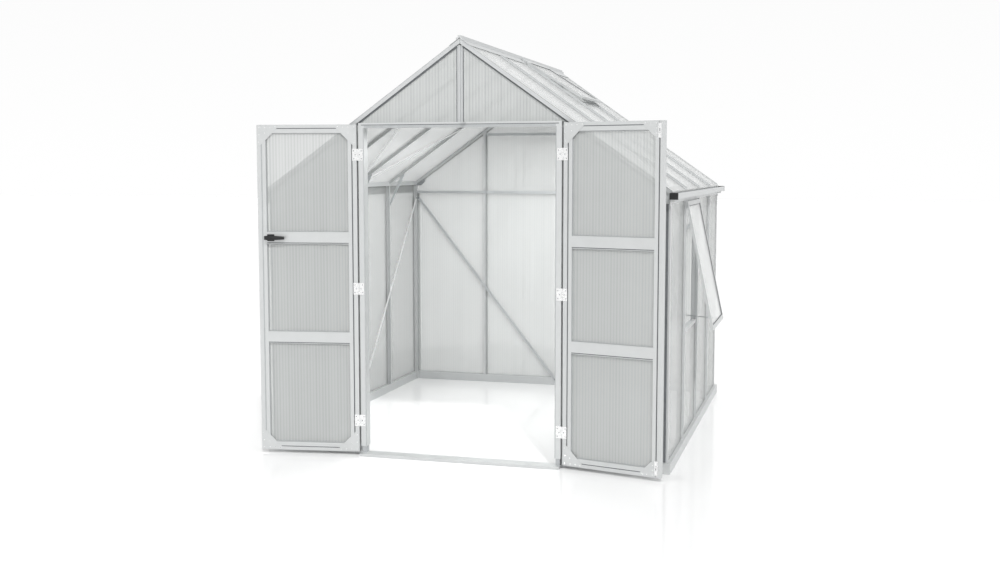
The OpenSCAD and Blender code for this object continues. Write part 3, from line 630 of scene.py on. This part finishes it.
HIGH_BOLT, LOW_BOLT, MIDDLES = 1.490, 0.045, (DEPTH / 2 - 0.025, DEPTH / 2 + 0.025)
spots = []
for side in SIDES.values():
    wall = [(y, HIGH_BOLT) for y in (0.066, DEPTH - 0.066)] + [(y, LOW_BOLT) for y in MIDDLES]
    spots += [((side * WALL_IN, y, z), (-side, 0, 0)) for y, z in wall]
    spots.append(((side * 1.178, BACK_IN, HIGH_BOLT), (0, -1, 0)))
    spots.append(((side * 0.030, BACK_IN, LOW_BOLT), (0, -1, 0)))
    inward = Vector((-side * math.sin(PITCH), 0, -math.cos(PITCH)))
    roof = [(0.062, y) for y in (0.058, DEPTH - 0.058)] + [(1.430, y) for y in MIDDLES]
    spots += [(on_slope(side, down, y, -0.025), inward) for down, y in roof]
bm = bmesh.new()
for point, normal in spots:
    point, normal = Vector(point), Vector(normal)
    headed_screw(bm, point, normal, 0.0075, 0.0010, 24, socket=False)
    headed_screw(bm, point + normal * 0.0009, normal, 0.0062, 0.0048, 6, socket=True)
    headed_screw(bm, point + normal * 0.0020, normal, 0.0030, 0.0060, 12, socket=False)
finish_piece("brace_nuts", bm, zinc_steel, "house", ("brace_bolts",))

# %% [markdown]
# ## Gutter ends and clips
# Each gutter is closed by a black cap that wraps its end like a shoebox lid, so it has a rim and
# softened corners. A white clip under each end holds the gutter up to the eave.

# %% Gutter caps and clips
RIM_L, EAVE_X = 0.0165, 1.2300
gutter_low, gutter_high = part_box("gutters")
cap_low, cap_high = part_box("gutter_end_caps")
bm, clips = bmesh.new(), bmesh.new()
for side in SIDES.values():
    inner, outer = side * (EAVE_X + 0.0003), side * (cap_high.x - 0.0002)
    low_x, high_x = sorted((inner, outer))
    for y0, y1 in ((cap_low.y, gutter_low.y), (gutter_high.y, cap_high.y)):
        rounded_box(bm, (low_x, y0, cap_low.z), (high_x, y1, cap_high.z), 0.0018, 3)
        rim0, rim1 = (y0, y0 + RIM_L) if y0 < 0 else (y1 - RIM_L, y1)
        rounded_box(bm, (low_x, rim0, cap_low.z), (high_x, rim1, cap_low.z + 0.0019), 0.0007)
        edge0, edge1 = sorted((side * gutter_high.x + side * 0.0001, outer))
        rounded_box(bm, (edge0, rim0, cap_low.z), (edge1, rim1, cap_high.z), 0.0004)
    for y in (0.010, DEPTH - 0.010):
        # A clip is a foot under the gutter and a tab on the post
        for reach, below, above, radius, segments in ((0.026, 0.0180, 0.0024, 0.0020, 3),
                                                      (0.003, 0.0400, 0.0160, 0.0010, 2)):
            low, high = sorted((side * EAVE_X, side * (EAVE_X + reach)))
            rounded_box(clips, (low, y - 0.011, gutter_low.z - below),
                        (high, y + 0.011, gutter_low.z - above), radius, segments)
finish_piece("gutter_caps", bm, black_nylon, "house", ("gutter_end_caps",))
finish_piece("gutter_clips", clips, white_plastic, "house")

# %% [markdown]
# ## Floor, light and camera
# The house stands on a pale polished floor that fades into a white room. The floor is lit to
# almost white, so only the soft contact shadows and a faint reflection ground the house. One far
# lamp shines from the front right, through the doorway, and lays a bright patch on the floor
# inside. A soft lamp under the ridge lifts the room. The sky is white at the horizon and slightly
# greyer overhead, which is what gives the metal its shading.

# %% Floor
def stand(name, data):
    """An object that belongs to the studio, not to the house."""
    holder = bpy.data.objects.new(name, data)
    bpy.context.scene.collection.objects.link(holder)
    return holder


def looking_along(direction):
    return Vector(direction).to_track_quat("-Z", "Y").to_euler()


bm = bmesh.new()
bmesh.ops.create_grid(bm, x_segments=1, y_segments=1, size=60.0)
mesh = bpy.data.meshes.new("studio_floor")
bm.to_mesh(mesh)
bm.free()
floor_material, tree, at = start("polished_white_floor")
smudge = add(tree, "ShaderNodeTexNoise", {"Scale": 0.8, "Detail": 2.0}, {"Vector": (at, "Object")})
polish = add(tree, "ShaderNodeMapRange", {"To Min": 0.06, "To Max": 0.14},
             {"Value": (smudge, "Fac")})
shader = add(tree, "ShaderNodeBsdfPrincipled",
             {"Base Color": colour("#F8F8F8"), "IOR": 1.45, "Specular IOR Level": 0.35},
             {"Roughness": (polish, "Result")})
mesh.materials.append(close(floor_material, tree, shader))
floor = stand("studio_floor", mesh)
floor.location.z = -0.0005                # so that no face of the base lies in the floor's own

# %% Sky
world = bpy.data.worlds.new("white_studio")
bpy.context.scene.world = world
world.use_nodes = True
tree = world.node_tree
tree.nodes.clear()
at = add(tree, "ShaderNodeTexCoord")
height = add(tree, "ShaderNodeSeparateXYZ", {}, {"Vector": (at, "Generated")})
fade = add(tree, "ShaderNodeMapRange",
           {"From Min": 0.0, "From Max": 0.8, "To Min": 1.0, "To Max": 0.84},
           {"Value": (height, "Z")})
sky = add(tree, "ShaderNodeBackground", {"Color": (1, 1, 1, 1)}, {"Strength": (fade, "Result")})
add(tree, "ShaderNodeOutputWorld", {}, {"Surface": (sky, "Background")})
print("sky:", world.name)

# %% Lamps
sun = bpy.data.lights.new("key_lamp", "SUN")
sun.energy, sun.angle = 1.5, math.radians(4)
stand("key_lamp", sun).rotation_euler = looking_along((-0.85, 1.68, -1.97))

soft = bpy.data.lights.new("room_lamp", "AREA")
soft.shape, soft.size, soft.energy = "SQUARE", 1.2, 27.0
room_lamp = stand("room_lamp", soft)
room_lamp.location = (0, 1.33, 1.94)
room_lamp.rotation_euler = looking_along((0, 0, -1.94))
room_lamp.visible_camera = False
print("lamps:", sun.name, soft.name)

# %% Camera
view = bpy.data.cameras.new("studio_camera")
view.lens, view.sensor_width, view.clip_end = 43.56, 36.0, 200.0
camera = stand("studio_camera", view)
camera.location = (2.149, -6.746, 1.731)
camera.rotation_euler = (math.radians(84.68), 0.0, math.radians(15.75))
bpy.context.scene.camera = camera
bpy.context.scene.view_settings.view_transform = "Standard"
print("camera at", tuple(round(c, 2) for c in camera.location))

# %% [markdown]
# ## Last update
# The view layer is updated once more. The looks must not make the house bigger than the
# part is.

# %% Update the view layer
bpy.context.view_layer.update()
